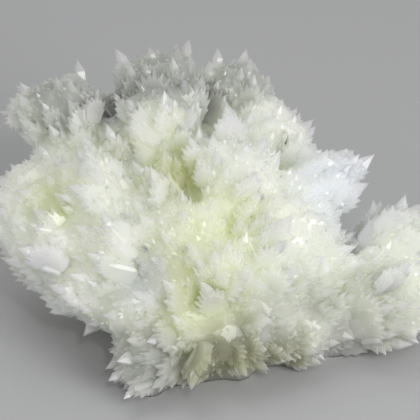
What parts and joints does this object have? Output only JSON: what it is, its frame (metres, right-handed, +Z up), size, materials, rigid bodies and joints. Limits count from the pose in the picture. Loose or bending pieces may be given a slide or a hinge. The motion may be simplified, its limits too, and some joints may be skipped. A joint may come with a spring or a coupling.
{
  "type": "aragonite specimen",
  "caption": "Cluster of milky pale green aragonite crystals: rounded masses of spear-tipped blades grown together, which rest on a flat broken base.",
  "frame": {"origin": "a point on the flat broken base, under the sole of the cluster", "axes": "+Z up, -Y towards the show side, +X to the right as seen from the show side, along the longest extent"},
  "size_m": [0.1245, 0.0963, 0.0655],
  "materials": {
    "aragonite": "milky, glassy crystal faces"
  },
  "bodies": {
    "root": {"aragonite_cluster": "aragonite"}
  },
  "joints": []
}
